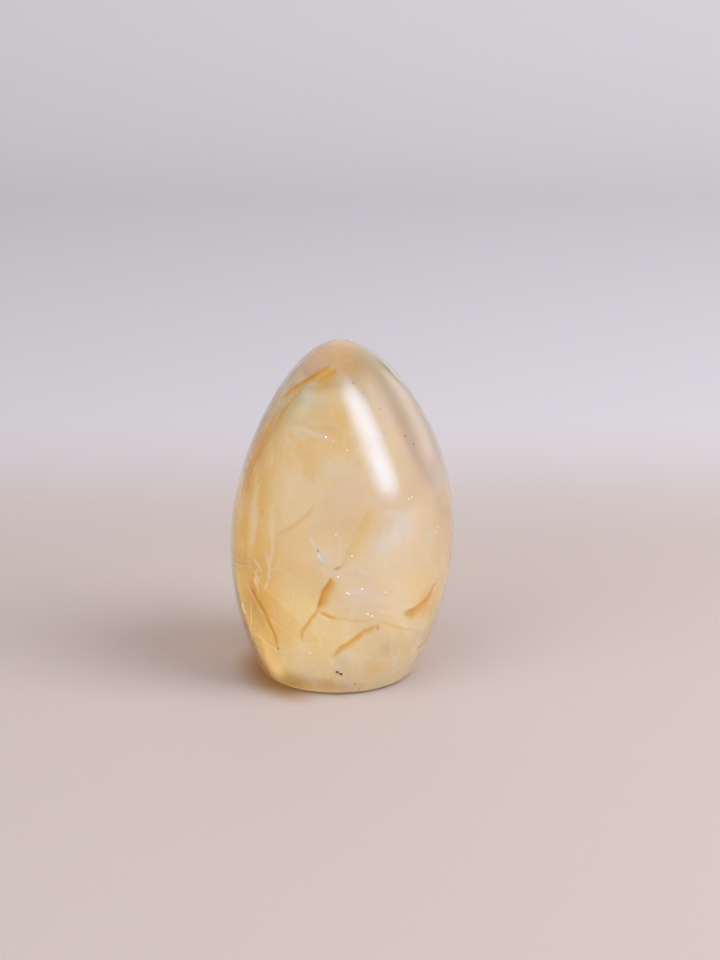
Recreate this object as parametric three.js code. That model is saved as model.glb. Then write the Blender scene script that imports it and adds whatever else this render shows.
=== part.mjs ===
// Golden healer quartz freeform: a hand-polished stone, a tall pebble whose softly ground faces run into each other,
// with a flat base cut across its foot so that it stands up. It is one piece of quartz.
// Millimetres, +Z up, the front faces -Y, and the origin is in the middle of the base.

import * as THREE from 'three';
import { mergeVertices } from 'three/addons/utils/BufferGeometryUtils.js';

// The rough pebble is an egg about the heart of the stone, before any face is ground on it.
const HEART_HEIGHT = 32.5;
const HALF_WIDTH = 27.5;
const HALF_DEPTH = 25;
const HALF_HEIGHT = 48.5;

// Each ground face turns about the vertical, from the right (+X) toward the back (+Y), tilts up from level,
// both in degrees, and lies at a distance from the heart.
const GROUND_FACES = [
  { name: 'front', turn: -97, tilt: 12, distance: 24 },
  { name: 'right front', turn: -35, tilt: 10, distance: 27 },
  { name: 'back', turn: 84, tilt: 15, distance: 24 },
  { name: 'right shoulder', turn: 0, tilt: 30, distance: 33 },
  { name: 'left shoulder', turn: 180, tilt: 28, distance: 33.5 },
  { name: 'right crown', turn: 0, tilt: 58, distance: 53.5 },
  { name: 'right foot', turn: 0, tilt: -14, distance: 28.5 },
  { name: 'left foot', turn: 180, tilt: -12, distance: 41 },
  { name: 'back foot', turn: 95, tilt: -16, distance: 30 },
  { name: 'heel', turn: -35, tilt: -42, distance: 39.5 },
];

// Polishing rounds the faces into each other: a higher crispness leaves sharper edges between them.
const CRISPNESS = 6;
// The base edge is eased over this length.
const BASE_EASE = 2;

// Rows of facets run from the crown to the middle of the base, closer together across the eased base edge.
const FACETS_AROUND = 80;
const SIDE_ROWS = 34;
const EDGE_ROWS = 4;
const BASE_ROWS = 2;
const EDGE_SPREAD = THREE.MathUtils.degToRad(3);

const QUARTZ_COLOUR = '#dcbc93';
const QUARTZ_ROUGHNESS = 0.12;

function direction(turn, polar) {
  return new THREE.Vector3(
    Math.cos(turn) * Math.sin(polar),
    Math.sin(turn) * Math.sin(polar),
    Math.cos(polar),
  );
}

const faceNormals = GROUND_FACES.map(({ turn, tilt }) =>
  direction(THREE.MathUtils.degToRad(turn), THREE.MathUtils.degToRad(90 - tilt)));

// How far the polished side lies from the heart along a direction.
function sideReach(along) {
  const pebble = Math.hypot(along.x / HALF_WIDTH, along.y / HALF_DEPTH, along.z / HALF_HEIGHT);
  let sum = pebble ** CRISPNESS;
  GROUND_FACES.forEach(({ distance }, index) => {
    const facing = Math.max(0, faceNormals[index].dot(along));
    sum += (facing / distance) ** CRISPNESS;
  });
  return sum ** (-1 / CRISPNESS);
}

// How far the plane of the base lies from the heart along a direction.
function baseReach(along) {
  return along.z < 0 ? HEART_HEIGHT / -along.z : Infinity;
}

// The nearer of two reaches, eased where they are within BASE_EASE of each other.
function easedNearer(side, base) {
  const closeness = Math.max(0, 1 - Math.abs(side - base) / BASE_EASE);
  return Math.min(side, base) - (BASE_EASE / 4) * closeness ** 2;
}

// The polar angle at which the side meets the base, for one turn about the vertical.
function baseEdgeAngle(turn) {
  let above = Math.PI / 2;
  let below = Math.PI;
  for (let step = 0; step < 40; step += 1) {
    const middle = (above + below) / 2;
    const along = direction(turn, middle);
    if (sideReach(along) < baseReach(along)) above = middle;
    else below = middle;
  }
  return above;
}

// The polar angle of a row of vertices, counted down from the crown.
function rowAngle(row, edgeAngle) {
  const edgeStart = edgeAngle - EDGE_SPREAD;
  const edgeEnd = edgeAngle + EDGE_SPREAD;
  const edgeRow = row - SIDE_ROWS;
  const baseRow = edgeRow - EDGE_ROWS;
  if (edgeRow <= 0) return (edgeStart * row) / SIDE_ROWS;
  if (baseRow <= 0) return THREE.MathUtils.lerp(edgeStart, edgeEnd, edgeRow / EDGE_ROWS);
  return THREE.MathUtils.lerp(edgeEnd, Math.PI, baseRow / BASE_ROWS);
}

// A unit ball whose vertices are moved out to the polished surface and down to the base.
function stoneGeometry() {
  const rows = SIDE_ROWS + EDGE_ROWS + BASE_ROWS;
  const ball = new THREE.SphereGeometry(1, FACETS_AROUND, rows).rotateX(Math.PI / 2);
  ball.deleteAttribute('normal');
  ball.deleteAttribute('uv');
  const stone = mergeVertices(ball);
  const points = stone.getAttribute('position');
  for (let index = 0; index < points.count; index += 1) {
    const turn = Math.atan2(points.getY(index), points.getX(index));
    const row = Math.round((Math.acos(points.getZ(index)) / Math.PI) * rows);
    const along = direction(turn, rowAngle(row, baseEdgeAngle(turn)));
    const reach = easedNearer(sideReach(along), baseReach(along));
    const height = Math.max(0, HEART_HEIGHT + reach * along.z);
    points.setXYZ(index, reach * along.x, reach * along.y, height);
  }
  stone.computeBoundingBox();
  const middle = stone.boundingBox.getCenter(new THREE.Vector3());
  stone.translate(-middle.x, -middle.y, 0);
  stone.computeVertexNormals();
  return stone;
}

function quartzMaterial() {
  return new THREE.MeshStandardMaterial({
    color: QUARTZ_COLOUR,
    roughness: QUARTZ_ROUGHNESS,
    metalness: 0,
  });
}

const stone = new THREE.Mesh(stoneGeometry(), quartzMaterial());
stone.name = 'quartz_freeform';

const object = new THREE.Group();
object.add(stone);

export default object;
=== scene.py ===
import math
import random
from typing import NamedTuple

import bmesh
import bpy
import numpy as np
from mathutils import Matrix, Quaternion, Vector, noise
from mathutils.bvhtree import BVHTree


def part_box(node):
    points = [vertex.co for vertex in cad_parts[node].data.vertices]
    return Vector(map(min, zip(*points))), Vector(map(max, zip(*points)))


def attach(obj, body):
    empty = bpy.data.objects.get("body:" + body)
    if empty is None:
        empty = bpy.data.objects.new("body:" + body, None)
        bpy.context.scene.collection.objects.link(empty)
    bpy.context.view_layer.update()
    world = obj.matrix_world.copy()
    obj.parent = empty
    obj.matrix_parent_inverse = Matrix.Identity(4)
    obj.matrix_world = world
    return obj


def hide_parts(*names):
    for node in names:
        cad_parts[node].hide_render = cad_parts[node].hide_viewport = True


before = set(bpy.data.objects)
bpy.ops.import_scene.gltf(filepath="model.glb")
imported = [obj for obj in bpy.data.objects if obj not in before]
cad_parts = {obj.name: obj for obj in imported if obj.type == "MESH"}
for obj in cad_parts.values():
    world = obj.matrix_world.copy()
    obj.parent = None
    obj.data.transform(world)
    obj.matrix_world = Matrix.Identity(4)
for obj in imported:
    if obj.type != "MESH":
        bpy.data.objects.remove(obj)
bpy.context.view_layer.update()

# Golden healer quartz freeform: a hazy, polished golden stone with iron-stained cracks, white feathers
# and dark grains in it, on a pale floor. Lengths in metres, apart from those said to be in millimetres.

MM = 0.001
NODE = "quartz_freeform"
# One seed for the chance draws and for the wander of cracks, so that each run gives the same stone
SEED = 7
chance = random.Random(SEED)
noise.seed_set(SEED)

# The stone's shape, in millimetres: a rough pebble about its heart, and the faces ground on it
HEART_HEIGHT = 32.5
HALF_SIZES = np.array([27.5, 25.0, 48.5])
GROUND_FACES = [
    # turn and tilt in degrees, and the distance from the heart
    (-97, 12, 24),
    (-35, 10, 27),
    (84, 15, 24),
    (0, 30, 33),
    (180, 28, 33.5),
    (0, 58, 53.5),
    (0, -14, 28.5),
    (180, -12, 41),
    (95, -16, 30),
    (-35, -42, 39.5),
]
CRISPNESS = 6
BASE_EASE = 2.0
MESH_CUTS = 125
QUARTZ_IOR = 1.544

# The camera, in millimetres and degrees, and the photograph's frame in pixels
LENS = 101.25
SENSOR = 36.0
CAMERA_PIVOT = Vector((1.1, 0.3, 38))
CAMERA_TILT = math.radians(19)
CAMERA_DISTANCE = 613.6
AIM_RIGHT = 2.95
AIM_UP = 6.86
IMAGE_WIDTH = 720
IMAGE_HEIGHT = 960
FOCAL_PIXELS = LENS / SENSOR * IMAGE_HEIGHT
PIXELS_PER_MM = FOCAL_PIXELS / CAMERA_DISTANCE

# The quartz: its surface, and the golden tint that deepens with the way light takes through it
QUARTZ_SURFACE = {
    "Roughness": 0.2,
    "IOR": QUARTZ_IOR,
    "Specular Tint": (0.3, 0.3, 0.3, 1),
    "Transmission Weight": 0.8,
    "Subsurface Weight": 1.0,
    "Subsurface Radius": (1.0, 0.8, 0.5),
    "Subsurface Scale": 0.014,
    "Coat Weight": 1.0,
    "Coat Roughness": 0.04,
    "Coat IOR": QUARTZ_IOR,
}
QUARTZ_TINT = (1.0, 0.87, 0.50)
QUARTZ_TINT_DENSITY = 42
WHITE_THREAD = (1.0, 0.98, 0.95)
# Stains of the quartz, in the order in which they cover each other
STAINS = {"milk": (1.0, 0.98, 0.95), "gold": (0.93, 0.55, 0.04), "rust": (0.72, 0.30, 0.02)}


class Tint(NamedTuple):
    """A kind of sheet: how much it stains the quartz around it gold, rusty and milky, its own two colours
    and how solid it is."""

    stain: tuple
    dark: tuple
    light: tuple
    solid: float


TINTS = {
    "rust": Tint((0.5, 0.5, 0.0), (0.45, 0.17, 0.0), (0.78, 0.38, 0.01), 1.0),
    "ochre": Tint((0.8, 0.0, 0.0), (0.95, 0.60, 0.03), (1.0, 0.76, 0.10), 0.95),
    "pale": Tint((0.35, 0.0, 0.0), (1.0, 0.82, 0.38), (1.0, 0.90, 0.55), 0.7),
    "white": Tint((0.0, 0.0, 0.8), (1.0, 0.97, 0.92), (1.0, 0.99, 0.97), 1.0),
}
VEIL_TINT = Tint((0.0, 0.0, 0.0), (1.0, 0.93, 0.80), (1.0, 0.98, 0.94), 0.75)
# Sheets break up into threads: the noise at which a thread starts, and at which it is full
CRACK_THREADS = (0.2, 0.45)
VEIL_THREADS = (0.3, 0.65)
# Sheets let some light through, scattered
SHEET_SURFACE = {"Roughness": 0.9, "Transmission Weight": 0.45}

# Sheets in millimetres: their thickness, how far under the polished surface cracks start,
# and the steps along them
SHEET_THICKNESS = 0.03
SHEET_COVER = 0.05
CRACK_STEP = 0.3
# A crack's sheet has rows of points, and runs aside and inward by these shares of its fade
SHEET_ROWS = 6
SHEET_ASIDE = 1.3
SHEET_INWARD = 0.4
# A crack's stain ends within this many millimetres on its sharp side, and past its ends
STAIN_SHARP_SIDE = 0.2
STAIN_PAST_END = 0.4
# A crack wanders: how often per pixel, and how far in pixels
WANDERS = ((0.11, 1.2), (0.4, 0.6))

# Cracks that the photograph shows: their tints, each with how far it fades to one side in millimetres,
# and their path by pixels, with the fading side to the left of one who walks along it
FRONT_CRACKS = [
    ({"pale": 2.2}, [(370, 506), (361, 524), (350, 545), (341, 567)]),
    ({"rust": 0.3}, [(341, 567), (334, 570)]),
    ({"ochre": 1.7, "rust": 0.35}, [(332, 578), (327, 585), (322, 592), (320, 600), (318, 609)]),
    ({"ochre": 0.5}, [(319, 607), (310, 620), (302, 631), (301, 641)]),
    ({"ochre": 0.5}, [(319, 612), (327, 617), (337, 619)]),
    ({"pale": 0.3}, [(334, 618), (350, 621), (376, 621)]),
    ({"ochre": 1.0}, [(376, 625), (364, 630), (350, 641), (341, 646), (334, 656)]),
    ({"rust": 0.2}, [(378, 625), (377, 630)]),
    ({"rust": 0.35}, [(438, 579), (429, 595), (422, 603)]),
    ({"ochre": 2.6}, [(432, 590), (420, 604), (404, 613)]),
    ({"ochre": 1.5}, [(433, 627), (425, 639), (416, 650)]),
    ({"pale": 0.3}, [(378, 621), (400, 628), (425, 634)]),
    ({"ochre": 1.2, "rust": 0.3}, [(249, 586), (257, 600), (264, 612)]),
    ({"ochre": 0.9}, [(262, 608), (270, 626), (278, 646)]),
    ({"ochre": 1.4, "rust": 0.3}, [(330, 366), (315, 374), (302, 382), (292, 389), (283, 397)]),
    ({"ochre": 0.4}, [(301, 390), (292, 400), (283, 411), (276, 424)]),
    ({"ochre": 1.6}, [(336, 368), (326, 374), (318, 381)]),
    ({"pale": 0.8}, [(316, 503), (304, 516), (289, 527), (276, 535)]),
    ({"ochre": 1.5}, [(276, 412), (262, 440), (250, 470), (243, 505)]),
    ({"white": 0.5}, [(291, 425), (307, 432), (327, 437), (336, 441)]),
    ({"white": 0.9}, [(310, 536), (315, 550), (321, 562), (334, 567)]),
    ({"white": 0.6}, [(334, 573), (339, 577), (341, 584)]),
    ({"white": 0.5}, [(345, 596), (356, 592), (366, 590)]),
    ({"white": 0.3}, [(364, 613), (378, 619)]),
    ({"white": 0.4}, [(327, 658), (340, 674), (353, 691)]),
    ({"white": 0.4}, [(305, 678), (315, 664)]),
    ({"white": 0.3}, [(391, 669), (401, 652)]),
    ({"white": 0.4}, [(437, 528), (429, 538)]),
    ({"white": 0.8}, [(298, 392), (306, 386), (316, 382)]),
]

# Chance cracks on the hidden sides: where they start in degrees around and up from the heart, their lengths
# and fades in millimetres, how much they bend and wobble at each step, and the fewest steps that make one
HIDDEN_TURNS = (0, 180)
HIDDEN_TILTS = (-35, 65)
HIDDEN_CRACKS = 22
HIDDEN_TINTS = ("ochre", "ochre", "pale", "pale", "white")
HIDDEN_STRENGTH = 0.6
HIDDEN_LENGTHS = (8, 26)
HIDDEN_FADES = (0.6, 2.5)
HIDDEN_BEND = 0.01
HIDDEN_WOBBLE = 0.035
HIDDEN_LEAST_STEPS = 8
# They stop short of the front, by the Y of the surface's normal, and of the foot, in millimetres
FRONT_NORMAL = -0.1
FOOT_HEIGHT = 1.5
# Golden ones have a rusty edge this wide, in millimetres
RUSTY_EDGE = 0.3

# Groups of fine white feathers: their middle and spread in pixels, their heading in degrees down from
# rightward, and how many there are
FEATHER_GROUPS = [
    ((335, 562), 13, 35, 9),
    ((362, 594), 14, 20, 9),
    ((264, 560), 20, 65, 5),
    ((402, 590), 22, 12, 10),
    ((308, 408), 16, 25, 8),
    ((345, 655), 20, 45, 9),
    ((425, 532), 12, -50, 7),
    ((385, 515), 16, -35, 7),
    ((300, 470), 22, 40, 6),
]
# Their strength, their fades in millimetres, the pixels between their bends,
# and the fewest steps that make one
FEATHER_STRENGTH = 0.7
FEATHER_FADES = (0.2, 0.8)
FEATHER_STRIDES = (4, 12)
FEATHER_LEAST_STEPS = 5

# White veils by pixel: their depth and reach in millimetres
FRONT_VEILS = [
    ((322, 556), 1.0, 4.5),
    ((356, 592), 1.2, 4.5),
    ((405, 528), 1.2, 7.0),
    ((380, 552), 1.2, 6.0),
    ((425, 565), 1.0, 5.0),
    ((333, 468), 1.5, 5.0),
    ((309, 398), 1.2, 3.5),
    ((345, 668), 1.5, 5.0),
    # The three shallow veils along the foot are partly painted light: pale sheets that brighten the foot for
    # the light a real stone carries down to it
    ((308, 684), 0.5, 4.5),
    ((345, 687), 0.5, 4.5),
    ((380, 682), 0.5, 4.5),
    ((388, 650), 1.5, 5.0),
    ((432, 535), 1.0, 4.0),
]
HIDDEN_VEILS = 8
HIDDEN_VEIL_DEPTHS = (1, 3)
HIDDEN_VEIL_REACHES = (3, 8)
# A veil has this many points each way, is narrower than long, bends by a share of its reach,
# and stays this many millimetres under the surface
VEIL_POINTS = 11
VEIL_WIDTH = 0.6
VEIL_BEND = 0.3
VEIL_COVER = 0.3

# Bright specks by pixel, and their radii in millimetres
SPECKS = [
    (346, 360), (326, 437), (333, 441), (347, 450), (336, 535), (352, 556), (338, 577), (347, 593),
    (349, 594), (362, 589), (386, 592), (368, 614), (372, 616), (310, 653), (430, 603), (412, 497),
    (409, 499), (438, 527), (437, 532), (297, 393), (284, 399), (289, 402),
]
SPECK_SIZES = (0.05, 0.11)
HIDDEN_SPECKS = 30

# Soft clouds by pixel: how gold, rusty and milky they are, and their reach in millimetres
FRONT_CLOUDS = [
    ((0.0, 0.0, 1.0), (400, 525), 9),
    ((0.0, 0.0, 0.5), (330, 520), 7),
    ((0.0, 0.0, 0.7), (350, 505), 6),
    ((0.0, 0.0, 0.8), (357, 594), 3.5),
    ((0.0, 0.0, 0.8), (335, 572), 2),
    ((0.0, 0.0, 0.7), (303, 386), 3),
    ((0.0, 0.0, 0.7), (400, 560), 7),
    ((0.0, 0.0, 0.7), (328, 553), 3),
    ((0.35, 0.05, 0.0), (352, 365), 4.5),
    ((0.3, 0.06, 0.0), (306, 449), 5.0),
    ((0.3, 0.06, 0.0), (333, 424), 4.5),
    ((0.5, 0.1, 0.0), (325, 381), 2.5),
    ((0.6, 0.05, 0.0), (427, 606), 4),
    ((0.3, 0.05, 0.0), (372, 672), 3),
    ((0.5, 0.2, 0.0), (266, 606), 3),
    ((0.4, 0.1, 0.0), (278, 634), 5),
    ((0.5, 0.1, 0.0), (298, 686), 4),
    ((0.3, 0.0, 0.0), (332, 690), 4),
    ((0.0, 0.0, 0.7), (392, 402), 6),
    ((0.0, 0.0, 0.7), (412, 445), 6),
    ((0.0, 0.0, 0.7), (425, 485), 6),
    ((0.0, 0.0, 0.8), (384, 545), 6),
]
HIDDEN_CLOUDS = 16
HIDDEN_CLOUD_AMOUNTS = ((0.0, 0.0, 0.7), (0.5, 0.0, 0.0), (0.4, 0.1, 0.0))
HIDDEN_CLOUD_REACHES = (2, 6)

# Dark grains at pinholes by pixel, with their radius in millimetres: painted shade standing in for each pit
PINHOLES = [
    ((353, 383), 0.18),
    ((363, 393), 0.16),
    ((380, 409), 0.15),
    ((405, 436), 0.24),
    ((414, 444), 0.24),
    ((432, 461), 0.18),
    ((318, 551), 0.22),
    ((278, 649), 0.28),
    ((337, 672), 0.38),
    ((341, 674), 0.36),
    ((355, 684), 0.24),
    ((359, 689), 0.26),
    ((262, 512), 0.22),
    ((312, 594), 0.12),
    ((317, 579), 0.10),
]
HIDDEN_PINHOLES = 14
HIDDEN_PINHOLE_SIZES = (0.1, 0.3)
# Grains and specks are rough by this share of their radius, and ground flat to this share of it
GRAIN_ROUGHNESS = 0.5
GRAIN_FLATNESS = 0.2
# Their dark and light colour
PINHOLE_SHADE = ((0.03, 0.018, 0.01), (0.16, 0.08, 0.03))
BRIGHT_SPECK = ((0.93, 0.91, 0.88), (0.99, 0.98, 0.97))

# Highlights by the pixels of their left and right edge, from the top down
STRIP_EDGES = (
    [(337, 374), (337, 400), (346, 430), (354, 450), (363, 470), (372, 490), (382, 506)],
    [(350, 372), (371, 400), (386, 430), (394, 450), (400, 470), (404, 488), (404, 504)],
)
BAND_EDGES = (
    [(372, 364), (388, 390), (404, 430), (414, 460), (420, 484)],
    [(378, 360), (408, 390), (432, 430), (443, 460), (448, 484)],
)
# The panels that they mirror: how far they are, their points across, and how soft their ends are
PANEL_DISTANCE = 0.8
PANEL_COLUMNS = 11
PANEL_END_SOFTNESS = (0.16, 0.25)
# Each panel's highlight, the softness of its left and right edge, its colour and brightness
PANELS = {
    "strip_light": (STRIP_EDGES, (0.5, 0.4), (0.42, 0.65, 1.0), 9.8),
    "side_light": (BAND_EDGES, (0.55, 0.3), (0.9, 0.85, 0.85), 1.4),
}

# The floor lies a hair above the plane of the base, so that no film of air mirrors the inside of the foot
FLOOR_HEIGHT = 0.03 * MM
FLOOR_FRONT = -4.0
FLOOR_HALF_WIDTH = 4.0
# The floor sweeps up into a wall
SWEEP_START = 0.5
SWEEP_RADIUS = 0.3
SWEEP_STEPS = 12
WALL_HEIGHT = 1.6

# Lamps: their turn to the right of the camera and tilt above level in degrees, distance, size and brightness
LAMPS = {
    "key": (60, 40, 1.0, 0.85, 7.7),
    "card": (-45, 8, 1.0, 1.0, 2.8),
    "top": (-35, 62, 0.9, 0.7, 1.7),
}
SKY_COLOUR = (1.0, 0.99, 0.98, 1)
SKY_STRENGTH = 0.47


def heading(turn, tilt):
    turn, tilt = math.radians(turn), math.radians(tilt)
    return (math.cos(tilt) * math.cos(turn), math.cos(tilt) * math.sin(turn), math.sin(tilt))


def new_object(name, mesh, material):
    piece = bpy.data.objects.new(name, mesh)
    bpy.context.scene.collection.objects.link(piece)
    mesh.materials.append(material)
    return piece


def mesh_of(name, points, faces):
    mesh = bpy.data.meshes.new(name)
    mesh.from_pydata([tuple(point) for point in points], [], faces)
    mesh.polygons.foreach_set("use_smooth", [True] * len(faces))
    mesh.update()
    return mesh


def set_layer(mesh, name, values):
    layer = mesh.attributes.new(name, "FLOAT", "POINT")
    layer.data.foreach_set("value", np.asarray(values, dtype=np.float32))


def joined(parts):
    """Several lots of points and faces as one."""
    points, faces = [], []
    for some, shape in parts:
        faces += [tuple(index + len(points) for index in face) for face in shape]
        points += [tuple(point) for point in some]
    return points, faces


# Materials: places in their nodes are in metres, and noise scales per metre


class Shader:
    """A new node material, with short ways to add the nodes that this script uses."""

    def __init__(self, name):
        self.material = bpy.data.materials.new(name)
        self.material.use_nodes = True
        self.nodes = self.material.node_tree.nodes
        self.links = self.material.node_tree.links
        self.surface = self.nodes["Principled BSDF"]
        self.output = self.nodes["Material Output"]

    def settle(self, values):
        """Sets plain values of the surface."""
        for name, value in values.items():
            self.surface.inputs[name].default_value = value

    def paint(self, colour):
        self.links.new(colour, self.surface.inputs["Base Color"])

    def place(self, stretch=(1, 1, 1), lean=(0, 0, 0)):
        """Places on the piece, turned by lean in degrees and then scaled by stretch."""
        node = self.nodes.new("ShaderNodeMapping")
        node.inputs["Rotation"].default_value = [math.radians(angle) for angle in lean]
        node.inputs["Scale"].default_value = stretch
        self.links.new(self.nodes.new("ShaderNodeTexCoord").outputs["Object"], node.inputs["Vector"])
        return node.outputs["Vector"]

    def sides(self, place):
        """The X, Y and Z of places."""
        node = self.nodes.new("ShaderNodeSeparateXYZ")
        self.links.new(place, node.inputs["Vector"])
        return node.outputs["X"], node.outputs["Y"], node.outputs["Z"]

    def reach(self, place):
        """How far places are from the origin."""
        node = self.nodes.new("ShaderNodeVectorMath")
        node.operation = "LENGTH"
        self.links.new(place, node.inputs[0])
        return node.outputs["Value"]

    def noise(self, place, scale, detail=4, distortion=0.0):
        node = self.nodes.new("ShaderNodeTexNoise")
        node.inputs["Scale"].default_value = scale
        node.inputs["Detail"].default_value = detail
        node.inputs["Distortion"].default_value = distortion
        self.links.new(place, node.inputs["Vector"])
        return node.outputs["Fac"]

    def voronoi(self, place, scale, feature):
        node = self.nodes.new("ShaderNodeTexVoronoi")
        node.feature = feature
        node.inputs["Scale"].default_value = scale
        self.links.new(place, node.inputs["Vector"])
        return node.outputs

    def ranged(self, value, low, high, top=1.0):
        """Maps a value between low and high to a smooth 0 to top."""
        node = self.nodes.new("ShaderNodeMapRange")
        node.interpolation_type = "SMOOTHSTEP"
        node.inputs["From Min"].default_value = low
        node.inputs["From Max"].default_value = high
        node.inputs["To Max"].default_value = top
        self.links.new(value, node.inputs["Value"])
        return node.outputs["Result"]

    def product(self, first, second):
        node = self.nodes.new("ShaderNodeMath")
        node.operation = "MULTIPLY"
        self.links.new(first, node.inputs[0])
        self.links.new(second, node.inputs[1])
        return node.outputs["Value"]

    def layer(self, name):
        """A layer of values that the mesh carries."""
        node = self.nodes.new("ShaderNodeAttribute")
        node.attribute_name = name
        return node.outputs["Fac"]

    def mix(self, factor, first, second):
        """Mixes two colours, each a socket or a plain colour."""
        node = self.nodes.new("ShaderNodeMix")
        node.data_type = "RGBA"
        self.links.new(factor, node.inputs[0])
        for socket, colour in ((node.inputs[6], first), (node.inputs[7], second)):
            if isinstance(colour, tuple):
                socket.default_value = (*colour, 1)
            else:
                self.links.new(colour, socket)
        return node.outputs[2]


def crossing_planes(shader, place):
    """A shade for each block between chance planes in the stone, and how near each point is to a plane."""
    waves = shader.nodes.new("ShaderNodeTexNoise")
    waves.inputs["Scale"].default_value = 60
    shader.links.new(place, waves.inputs["Vector"])
    bend = shader.nodes.new("ShaderNodeVectorMath")
    bend.operation = "MULTIPLY_ADD"
    bend.inputs[1].default_value = (0.002, 0.002, 0.002)
    shader.links.new(waves.outputs["Color"], bend.inputs[0])
    shader.links.new(place, bend.inputs[2])
    blocks = shader.voronoi(bend.outputs["Vector"], 75, "F1")
    planes = shader.voronoi(bend.outputs["Vector"], 75, "DISTANCE_TO_EDGE")
    shade = shader.nodes.new("ShaderNodeSeparateColor")
    shader.links.new(blocks["Color"], shade.inputs["Color"])
    return shade.outputs["Red"], planes["Distance"]


def body_colour(shader, place, shade):
    """Cream and gold clouds and blocks; painted light makes the foot warmer and the crown paler."""
    height = shader.sides(place)[2]
    clouds = shader.ranged(shader.noise(place, 45, 5, 0.8), 0.38, 0.64)
    colour = shader.mix(clouds, (0.98, 0.855, 0.62), (1.0, 0.96, 0.90))
    colour = shader.mix(shader.ranged(shade, 0.35, 1.0, 0.6), colour, (0.95, 0.78, 0.48))
    # Painted light: a warmer gold near the foot stands in for the light a real stone carries down to it
    colour = shader.mix(shader.ranged(height, 0.018, 0.002, 0.5), colour, (1.0, 0.81, 0.54))
    # Painted light: a paler crown stands in for the light that falls on the top
    return shader.mix(shader.ranged(height, 0.048, 0.074, 0.7), colour, (1.0, 0.90, 0.72))


def left_streaks_and_painted_shade(shader, place, colour):
    """Golden streaks down the left side, partly painted shade, and a deep golden painted shade at its foot.
    """
    across, _, height = shader.sides(place)
    streaks = shader.noise(shader.place((1, 1, 0.14), (0, 8, 0)), 260)
    # The left side faces away from the key light: its streaks are partly the stone's own gold and partly
    # painted shade
    left = shader.product(shader.ranged(across, -0.009, -0.024), shader.ranged(streaks, 0.25, 0.55))
    colour = shader.mix(left, colour, (0.92, 0.61, 0.11))
    # Painted shade: a deep golden darkening of the lower left corner
    corner = shader.product(shader.ranged(across, -0.013, -0.021, 0.8), shader.ranged(height, 0.036, 0.020))
    return shader.mix(corner, colour, (0.42, 0.20, 0.01))


def white_lines(shader, place, plane, colour):
    """White hairlines on the planes, slanting threads and tiny specks."""
    patches = shader.ranged(shader.noise(place, 90, 2), 0.5, 0.62, 0.4)
    hairlines = shader.product(shader.ranged(plane, 0.024, 0.0), patches)
    colour = shader.mix(hairlines, colour, WHITE_THREAD)
    threads = shader.noise(shader.place((1, 1, 0.25), (40, -35, 0)), 320, 6, 1.0)
    colour = shader.mix(shader.ranged(threads, 0.57, 0.70, 0.65), colour, WHITE_THREAD)
    specks = shader.voronoi(place, 700, "F1")["Distance"]
    specks = shader.product(shader.ranged(specks, 0.22, 0.12), patches)
    return shader.mix(specks, colour, (1.0, 0.99, 0.97))


def stained(shader, place, colour):
    """The stains of cracks and clouds, by the layers that the stone's mesh carries."""
    ragged = shader.ranged(shader.noise(place, 300), 0.1, 0.5)
    for layer, tint in STAINS.items():
        colour = shader.mix(shader.product(shader.layer(layer), ragged), colour, tint)
    return colour


def quartz_material():
    shader = Shader("golden_quartz")
    place = shader.place()
    shade, plane = crossing_planes(shader, place)
    colour = body_colour(shader, place, shade)
    colour = left_streaks_and_painted_shade(shader, place, colour)
    colour = white_lines(shader, place, plane, colour)
    shader.paint(stained(shader, place, colour))
    shader.settle(QUARTZ_SURFACE)
    tint = shader.nodes.new("ShaderNodeVolumeAbsorption")
    tint.inputs["Color"].default_value = (*QUARTZ_TINT, 1)
    tint.inputs["Density"].default_value = QUARTZ_TINT_DENSITY
    shader.links.new(tint.outputs["Volume"], shader.output.inputs["Volume"])
    return shader.material


def sheet_material(name, tint, threads):
    """A thin patchy sheet that fades out by its own layer and between threads."""
    shader = Shader(name)
    patches = shader.ranged(shader.noise(shader.place(), 420), 0.35, 0.65)
    shader.paint(shader.mix(patches, tint.dark, tint.light))
    wisps = shader.noise(shader.place((1, 1, 0.3), (35, -30, 0)), 450, 5, 0.8)
    wisps = shader.ranged(wisps, *threads, tint.solid)
    cover = shader.product(shader.layer("solid"), wisps)
    shader.links.new(cover, shader.surface.inputs["Alpha"])
    shader.settle(SHEET_SURFACE)
    return shader.material


def grain_material(name, dark, light):
    shader = Shader(name)
    shader.paint(shader.mix(shader.noise(shader.place(), 3000, 3), dark, light))
    shader.settle({"Roughness": 0.7})
    return shader.material


def floor_material():
    """Pale, and cooler toward the back. Under the stone the floor has a painted golden glow, and beside its
    left foot a painted golden shade, for the light that a real stone lets through."""
    shader = Shader("pale_floor")
    place = shader.place()
    across, back, _ = shader.sides(place)
    colour = shader.mix(shader.ranged(back, 0.08, 0.2), (0.437, 0.368, 0.346), (0.51, 0.484, 0.517))
    reach = shader.reach(place)
    # Painted glow: a bright gold under the stone
    colour = shader.mix(shader.ranged(reach, 0.0155, 0.0135), colour, (1.0, 0.80, 0.48))
    # Painted shade: a darker gold beside the left foot
    painted_shade_beside = shader.product(shader.ranged(reach, 0.027, 0.019), shader.ranged(across, -0.004, -0.014))
    shader.paint(shader.mix(painted_shade_beside, colour, (0.34, 0.19, 0.08)))
    shader.settle({"Roughness": 0.6})
    return shader.material


def light_material(name, colour):
    """A glow whose strength is the panel's own brightness layer."""
    shader = Shader(name)
    shader.nodes.remove(shader.surface)
    glow = shader.nodes.new("ShaderNodeEmission")
    glow.inputs["Color"].default_value = (*colour, 1)
    shader.links.new(shader.layer("brightness"), glow.inputs["Strength"])
    shader.links.new(glow.outputs["Emission"], shader.output.inputs["Surface"])
    return shader.material


# The stone


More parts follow.
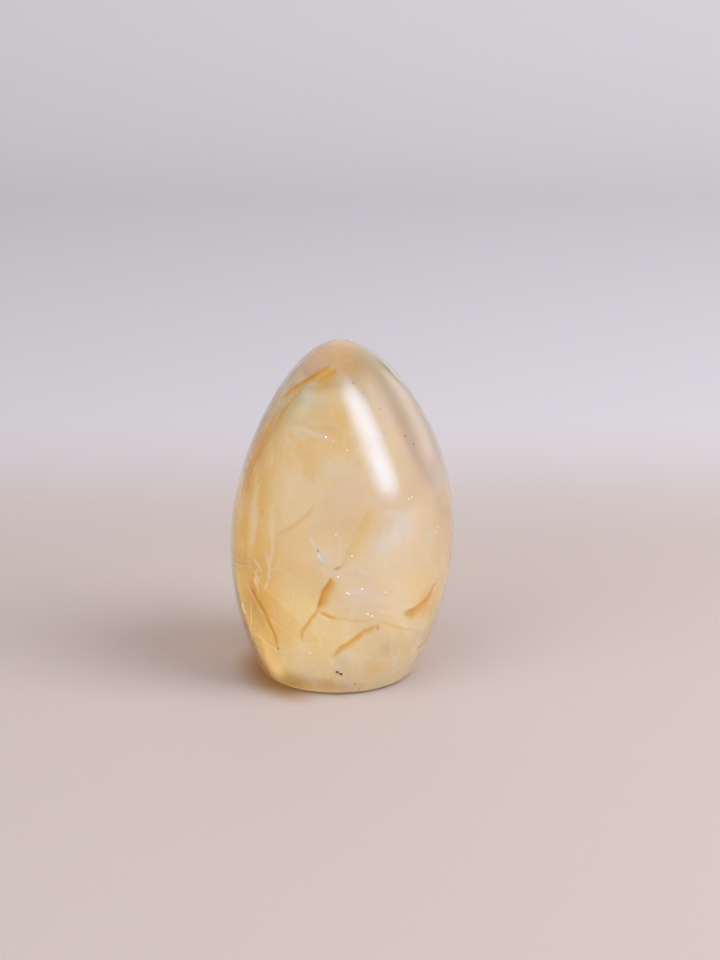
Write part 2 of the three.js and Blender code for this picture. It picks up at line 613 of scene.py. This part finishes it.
def side_reach(along):
    """How far the polished side lies from the heart along unit directions, in millimetres."""
    total = np.linalg.norm(along / HALF_SIZES, axis=1) ** CRISPNESS
    for turn, tilt, distance in GROUND_FACES:
        facing = np.maximum(0, along @ np.array(heading(turn, tilt)))
        total += (facing / distance) ** CRISPNESS
    return total ** (-1 / CRISPNESS)


def stone_points(along):
    """Points of the stone's surface along unit directions from its heart, in metres."""
    side = side_reach(along)
    base = np.full(len(along), np.inf)
    down = along[:, 2] < 0
    base[down] = HEART_HEIGHT / -along[down, 2]
    closeness = np.maximum(0, 1 - np.abs(side - base) / BASE_EASE)
    reach = np.minimum(side, base) - BASE_EASE / 4 * closeness**2
    points = along * reach[:, None]
    points[:, 2] = np.maximum(0, points[:, 2] + HEART_HEIGHT)
    points *= MM
    low, high = (np.array(corner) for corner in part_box(NODE))
    points[:, :2] += (low + high)[:2] / 2 - (points.min(0) + points.max(0))[:2] / 2
    return points


def stone_shape():
    """The stone's points and faces, from an evenly cut cube swollen to a ball of directions."""
    cube = bmesh.new()
    bmesh.ops.create_cube(cube, size=2)
    bmesh.ops.subdivide_edges(cube, edges=cube.edges[:], cuts=MESH_CUTS, use_grid_fill=True)
    along = np.tan(np.array([vertex.co for vertex in cube.verts]) * math.pi / 4)
    along /= np.linalg.norm(along, axis=1, keepdims=True)
    faces = [[vertex.index for vertex in face.verts] for face in cube.faces]
    cube.free()
    return stone_points(along), faces


def stone_piece(points, faces, cracks, clouds):
    """The polished stone, with its stains in layers."""
    mesh = mesh_of("polished_stone", points, faces)
    stains = np.zeros((len(points), 3))
    for tint, fade, line in cracks:
        amount = crack_stain(points, line, fade * MM)
        stains = np.maximum(stains, amount[:, None] * np.array(TINTS[tint].stain))
    for amounts, place, reach in clouds:
        gap = np.linalg.norm(points - np.array(place), axis=1) / (reach * MM)
        stains = np.maximum(stains, np.exp(-(gap**2))[:, None] * np.array(amounts))
    for name, amount in zip(("gold", "rust", "milk"), stains.T):
        set_layer(mesh, name, amount)
    return new_object("polished_stone", mesh, quartz_material())


# Camera, and what its pixels see


def camera():
    data = bpy.data.cameras.new("camera")
    data.lens = LENS
    data.sensor_width = SENSOR
    data.clip_start = 0.01
    eye = bpy.data.objects.new("camera", data)
    bpy.context.scene.collection.objects.link(eye)
    forward = Vector((0, math.cos(CAMERA_TILT), -math.sin(CAMERA_TILT)))
    upward = Vector((0, math.sin(CAMERA_TILT), math.cos(CAMERA_TILT)))
    eye.location = (CAMERA_PIVOT - forward * CAMERA_DISTANCE) * MM
    aim = (CAMERA_PIVOT + Vector((AIM_RIGHT, 0, 0)) + upward * AIM_UP) * MM
    eye.rotation_mode = "QUATERNION"
    eye.rotation_quaternion = (aim - eye.location).to_track_quat("-Z", "Y")
    bpy.context.scene.camera = eye
    return eye


def seen_at(eye, tree, pixel):
    """The line of sight of a pixel, and the point and normal where it meets the stone, or None beside it."""
    line = Vector((pixel[0] - IMAGE_WIDTH / 2, IMAGE_HEIGHT / 2 - pixel[1], -FOCAL_PIXELS)).normalized()
    line = eye.rotation_quaternion @ line
    point, normal = tree.ray_cast(eye.location, line)[:2]
    return line, point, normal


def hidden_spot(tree):
    """A chance place on the sides and back of the stone, and its normal."""
    turn = chance.uniform(*HIDDEN_TURNS)
    tilt = chance.uniform(*HIDDEN_TILTS)
    heart = Vector((0, 0, HEART_HEIGHT * MM))
    return tree.ray_cast(heart, Vector(heading(turn, tilt)))[:2]


# Cracks and feathers


def even_path(path, step):
    """Points at about equal steps along a path."""
    path = [Vector(point) for point in path]
    made = []
    for start, end in zip(path, path[1:]):
        count = max(1, round((end - start).length / step))
        made += [start.lerp(end, index / count) for index in range(count)]
    return [*made, path[-1]]


def front_path(eye, tree, pixels):
    """The places on the stone's front that a path of pixels shows, with a little wander."""
    places = []
    for pixel in even_path([(*pixel, 0) for pixel in pixels], CRACK_STEP * PIXELS_PER_MM):
        wander = sum((noise.noise_vector(pixel * often) * far for often, far in WANDERS), Vector())
        point = seen_at(eye, tree, pixel + wander)[1]
        if point is not None:
            places.append(point)
    return places


def hidden_path(tree):
    """A wandering path on the hidden sides of the stone."""
    place, normal = hidden_spot(tree)
    ahead = normal.orthogonal().normalized()
    ahead.rotate(Quaternion(normal, chance.uniform(0, 2 * math.pi)))
    bend = chance.uniform(-HIDDEN_BEND, HIDDEN_BEND)
    places = []
    for _ in range(round(chance.uniform(*HIDDEN_LENGTHS) / CRACK_STEP)):
        places.append(place)
        ahead.rotate(Quaternion(normal, bend + chance.gauss(0, HIDDEN_WOBBLE)))
        place, normal = tree.find_nearest(place + ahead * CRACK_STEP * MM)[:2]
        ahead = (ahead - normal * ahead.dot(normal)).normalized()
        if normal.y < FRONT_NORMAL or place.z < FOOT_HEIGHT * MM:
            break
    return places


def feather_pixels(middle, spread, turn):
    """A short bent path of pixels near the middle of a group."""
    start = Vector((chance.gauss(middle[0], spread), chance.gauss(middle[1], spread)))
    turn = math.radians(chance.gauss(turn, 20))
    stride = chance.uniform(*FEATHER_STRIDES)
    pixels = [start]
    for _ in range(2):
        pixels.append(pixels[-1] + Vector((math.cos(turn), math.sin(turn))) * stride)
        turn += chance.gauss(0, 0.3)
    return pixels


def crack_line(tree, places, strength=1.0):
    """Rows of places, normals, sideways directions and strengths along a crack, fading to its ends."""
    normals = np.array([tree.find_nearest(place)[1] for place in places])
    places = np.array(places)
    ahead = np.gradient(places, axis=0)
    sides = np.cross(normals, ahead)
    sides /= np.linalg.norm(sides, axis=1, keepdims=True)
    share = np.linspace(-1, 1, len(places))
    return places, normals, sides, strength * np.sqrt(1 - 0.9 * np.abs(share) ** 3)


def crack_stain(points, line, fade):
    """How strongly a crack stains points of the surface: sharply ending on one side, fading on the other."""
    places, _, sides, strength = line
    amount = np.zeros(len(points))
    reach = 3 * fade
    close = np.all((points > places.min(0) - reach) & (points < places.max(0) + reach), axis=1)
    gaps = points[close][:, None] - places[None]
    nearest = (gaps**2).sum(2).argmin(1)
    gap = gaps[np.arange(len(nearest)), nearest]
    aside = (gap * sides[nearest]).sum(1)
    beyond = (gap**2).sum(1) - aside**2
    width = np.where(aside > 0, fade * (0.3 + 0.7 * strength[nearest]), STAIN_SHARP_SIDE * MM)
    falling = np.exp(-((aside / width) ** 2) - beyond / (STAIN_PAST_END * MM) ** 2)
    amount[close] = np.minimum(1, 1.5 * strength[nearest] * falling)
    return amount


def front_cracks(eye, tree):
    """The tint, fade and line of each crack that the photograph shows."""
    cracks = []
    for layers, pixels in FRONT_CRACKS:
        line = crack_line(tree, front_path(eye, tree, pixels))
        cracks += [(tint, fade, line) for tint, fade in layers.items()]
    return cracks


def feathers(eye, tree):
    """The tint, fade and line of each fine white feather on the front."""
    cracks = []
    for middle, spread, turn, count in FEATHER_GROUPS:
        for _ in range(count):
            places = front_path(eye, tree, feather_pixels(middle, spread, turn))
            if len(places) > FEATHER_LEAST_STEPS:
                fade = chance.uniform(*FEATHER_FADES)
                cracks.append(("white", fade, crack_line(tree, places, FEATHER_STRENGTH)))
    return cracks


def hidden_cracks(tree):
    """The tint, fade and line of chance cracks on the hidden sides."""
    cracks = []
    for _ in range(HIDDEN_CRACKS):
        tint = chance.choice(HIDDEN_TINTS)
        fade = chance.uniform(*HIDDEN_FADES)
        places = hidden_path(tree)
        if len(places) > HIDDEN_LEAST_STEPS:
            line = crack_line(tree, places, HIDDEN_STRENGTH)
            cracks.append((tint, fade, line))
            if tint == "ochre":
                cracks.append(("rust", RUSTY_EDGE, line))
    return cracks


def all_clouds(eye, tree):
    """The amounts, place and reach of each soft cloud: those in the photograph, and chance ones elsewhere."""
    clouds = [(amounts, seen_at(eye, tree, pixel)[1], reach) for amounts, pixel, reach in FRONT_CLOUDS]
    for _ in range(HIDDEN_CLOUDS):
        amounts = chance.choice(HIDDEN_CLOUD_AMOUNTS)
        clouds.append((amounts, hidden_spot(tree)[0], chance.uniform(*HIDDEN_CLOUD_REACHES)))
    return clouds


# Sheets in the stone


def sheet_faces(columns, rows):
    """Faces of a closed thin sheet: columns of rows of points on one side, then the same on the other."""
    half = columns * rows
    faces = []
    for column in range(columns - 1):
        for row in range(rows - 1):
            a = column * rows + row
            b = a + rows
            faces.append((a, b, b + 1, a + 1))
            faces.append((half + a, half + a + 1, half + b + 1, half + b))
    rim = [column * rows for column in range(columns)]
    rim += [(columns - 1) * rows + row for row in range(1, rows)]
    rim += [column * rows + rows - 1 for column in range(columns - 2, -1, -1)]
    rim += list(range(rows - 2, 0, -1))
    for a, b in zip(rim, rim[1:] + rim[:1]):
        faces.append((b, a, half + a, half + b))
    return faces


def thin_sheet(points, facing, solid):
    """A closed thin sheet through columns of rows of points, and how solid it is at each point."""
    columns, rows = solid.shape
    half = facing * SHEET_THICKNESS / 2 * MM
    both = np.concatenate([(points + half).reshape(-1, 3), (points - half).reshape(-1, 3)])
    return both, sheet_faces(columns, rows), np.tile(solid.ravel(), 2)


def crack_sheet(line, fade):
    """A sheet that slants inward from just under the surface to its fading side."""
    places, normals, sides, strength = line
    uneven = np.array([0.9 + 0.7 * noise.noise(Vector(place) * 500) for place in places])
    share = np.linspace(0, 1, SHEET_ROWS)
    reach = fade * (strength * uneven)[:, None, None] * share[None, :, None]
    aside = sides[:, None] * SHEET_ASIDE * reach
    inward = normals[:, None] * (SHEET_COVER + SHEET_INWARD * reach)
    points = places[:, None] + (aside - inward) * MM
    solid = strength[:, None] * (1 - share[None]) ** 1.2
    return thin_sheet(points, normals[:, None], solid)


def veil_sheet(tree, place, normal, depth, reach):
    """A gently bent round sheet under a place of the surface, thinning out to its rim."""
    tilt = Quaternion(normal.orthogonal(), chance.gauss(0, 0.5))
    turn = Quaternion(normal, chance.uniform(0, 2 * math.pi)) @ tilt @ normal.to_track_quat("Z", "X")
    middle = place - normal * depth * MM
    spots = np.linspace(-1, 1, VEIL_POINTS)
    across, along = np.meshgrid(spots, spots, indexing="ij")
    across, along = across * np.sqrt(1 - along**2 / 2), along * np.sqrt(1 - across**2 / 2)
    points = np.zeros((*across.shape, 3))
    for index in np.ndindex(across.shape):
        bend = VEIL_BEND * noise.noise(Vector((across[index], along[index], 40 * depth + 9 * reach)))
        spot = middle + turn @ Vector((VEIL_WIDTH * across[index], along[index], bend)) * reach * MM
        near, outward = tree.find_nearest(spot)[:2]
        if (spot - near).dot(outward) > -VEIL_COVER * MM:
            spot = near - outward * VEIL_COVER * MM
        points[index] = spot
    solid = np.maximum(0, 1 - across**2 - along**2) ** 2
    return thin_sheet(points, np.array(turn @ Vector((0, 0, 1))), solid)


def sheet_piece(name, sheets, tint, threads):
    mesh = mesh_of(name, *joined([sheet[:2] for sheet in sheets]))
    set_layer(mesh, "solid", np.concatenate([sheet[2] for sheet in sheets]))
    return new_object(name, mesh, sheet_material(name, tint, threads))


def crack_pieces(cracks):
    """One piece for each tint of crack."""
    pieces = []
    for name, tint in TINTS.items():
        sheets = [crack_sheet(line, fade) for kind, fade, line in cracks if kind == name]
        pieces.append(sheet_piece(f"{name}_cracks", sheets, tint, CRACK_THREADS))
    return pieces


def veil_piece(eye, tree):
    sheets = []
    for pixel, depth, reach in FRONT_VEILS:
        place, normal = seen_at(eye, tree, pixel)[1:]
        sheets.append(veil_sheet(tree, place, normal, depth, reach))
    for _ in range(HIDDEN_VEILS):
        place, normal = hidden_spot(tree)
        depth = chance.uniform(*HIDDEN_VEIL_DEPTHS)
        sheets.append(veil_sheet(tree, place, normal, depth, chance.uniform(*HIDDEN_VEIL_REACHES)))
    return sheet_piece("white_veils", sheets, VEIL_TINT, VEIL_THREADS)


# Grains in the surface


def grain(place, normal, size):
    """A small rough grain in the surface, ground flat, of a size in millimetres."""
    size *= MM
    ball = bmesh.new()
    bmesh.ops.create_icosphere(ball, subdivisions=2, radius=size)
    points = []
    for vertex in ball.verts:
        rough = 1 + GRAIN_ROUGHNESS * noise.noise(vertex.co / size * 1.3 + place * 900)
        height = normal * vertex.co.dot(normal)
        points.append(place + (vertex.co - height) * rough + height * GRAIN_FLATNESS)
    faces = [[vertex.index for vertex in face.verts] for face in ball.faces]
    ball.free()
    return points, faces


# The dark grains are painted shade: flat dark spots that stand in for the shade inside each pinhole
def pinhole_shade_grains(eye, tree):
    grains = [grain(*seen_at(eye, tree, pixel)[1:], size) for pixel, size in PINHOLES]
    for _ in range(HIDDEN_PINHOLES):
        grains.append(grain(*hidden_spot(tree), chance.uniform(*HIDDEN_PINHOLE_SIZES)))
    material = grain_material("pinhole_shade_grain", *PINHOLE_SHADE)
    return new_object("pinhole_shade_grains", mesh_of("pinhole_shade_grains", *joined(grains)), material)


def bright_specks(eye, tree):
    specks = [grain(*seen_at(eye, tree, pixel)[1:], chance.uniform(*SPECK_SIZES)) for pixel in SPECKS]
    specks += [grain(*hidden_spot(tree), chance.uniform(*SPECK_SIZES)) for _ in range(HIDDEN_SPECKS)]
    material = grain_material("bright_speck", *BRIGHT_SPECK)
    return new_object("bright_specks", mesh_of("bright_specks", *joined(specks)), material)


# Stage and light


def floor_piece():
    outline = [(FLOOR_FRONT, FLOOR_HEIGHT), (SWEEP_START, FLOOR_HEIGHT)]
    for step in range(1, SWEEP_STEPS + 1):
        angle = math.radians(90) * step / SWEEP_STEPS
        back = SWEEP_START + SWEEP_RADIUS * math.sin(angle)
        outline.append((back, SWEEP_RADIUS - SWEEP_RADIUS * math.cos(angle)))
    outline.append((SWEEP_START + SWEEP_RADIUS, WALL_HEIGHT))
    points = [(x, y, z) for y, z in outline for x in (-FLOOR_HALF_WIDTH, FLOOR_HALF_WIDTH)]
    faces = [(2 * row, 2 * row + 1, 2 * row + 3, 2 * row + 2) for row in range(len(outline) - 1)]
    new_object("floor", mesh_of("floor", points, faces), floor_material())


def softbox(name, turn, tilt, distance, size, brightness):
    """A square light that faces the stone and isn't mirrored in it."""
    data = bpy.data.lights.new(name, "AREA")
    data.size = size
    data.energy = math.pi * size**2 * brightness
    lamp = bpy.data.objects.new(name, data)
    bpy.context.scene.collection.objects.link(lamp)
    outward = Vector(heading(turn - 90, tilt))
    lamp.location = outward * distance
    lamp.rotation_mode = "QUATERNION"
    lamp.rotation_quaternion = outward.to_track_quat("Z", "Y")
    lamp.visible_glossy = False


def swell(share, rise, fall):
    """Rises from 0 to 1 over the first part of a span, and falls again over the last part."""
    height = min(1, share / rise, (1 - share) / fall)
    return height * height * (3 - 2 * height)


def doubled(edge):
    """An edge of pixels with another pixel halfway between each two."""
    edge = [Vector(pixel) for pixel in edge]
    return [pixel for a, b in zip(edge, edge[1:]) for pixel in (a, a.lerp(b, 0.5))] + edge[-1:]


def light_panel(name, eye, tree, edges, softness, colour, brightness):
    """A panel placed so that its reflection in the stone fills the patch between two edges of pixels,
    with the softness of its left and right edge."""
    points, glow = [], []
    lefts, rights = (doubled(edge) for edge in edges)
    rows = len(lefts)
    for row, (left, right) in enumerate(zip(lefts, rights)):
        along = swell(row / (rows - 1), *PANEL_END_SOFTNESS)
        for column in range(PANEL_COLUMNS):
            share = column / (PANEL_COLUMNS - 1)
            line, place, normal = seen_at(eye, tree, left.lerp(right, share))
            points.append(place + line.reflect(normal) * PANEL_DISTANCE)
            glow.append(brightness * swell(share, *softness) * along)
    faces = []
    for row in range(rows - 1):
        for column in range(PANEL_COLUMNS - 1):
            a = row * PANEL_COLUMNS + column
            faces.append((a, a + 1, a + PANEL_COLUMNS + 1, a + PANEL_COLUMNS))
    mesh = mesh_of(name, points, faces)
    set_layer(mesh, "brightness", glow)
    panel = new_object(name, mesh, light_material(name, colour))
    panel.visible_diffuse = False
    panel.visible_camera = False


def studio(eye, tree):
    world = bpy.data.worlds.new("studio")
    bpy.context.scene.world = world
    world.use_nodes = True
    sky = world.node_tree.nodes["Background"]
    sky.inputs["Color"].default_value = SKY_COLOUR
    sky.inputs["Strength"].default_value = SKY_STRENGTH
    world.cycles_visibility.glossy = False
    for name, values in PANELS.items():
        light_panel(name, eye, tree, *values)
    for name, values in LAMPS.items():
        softbox(name, *values)


points, faces = stone_shape()
tree = BVHTree.FromPolygons([tuple(point) for point in points], faces)
eye = camera()
cracks = front_cracks(eye, tree) + feathers(eye, tree) + hidden_cracks(tree)
stone = stone_piece(points, faces, cracks, all_clouds(eye, tree))
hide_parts(NODE)
inside = [*crack_pieces(cracks), veil_piece(eye, tree), pinhole_shade_grains(eye, tree), bright_specks(eye, tree)]
for piece in (stone, *inside):
    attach(piece, "root")
floor_piece()
studio(eye, tree)
bpy.context.scene.view_settings.view_transform = "Standard"
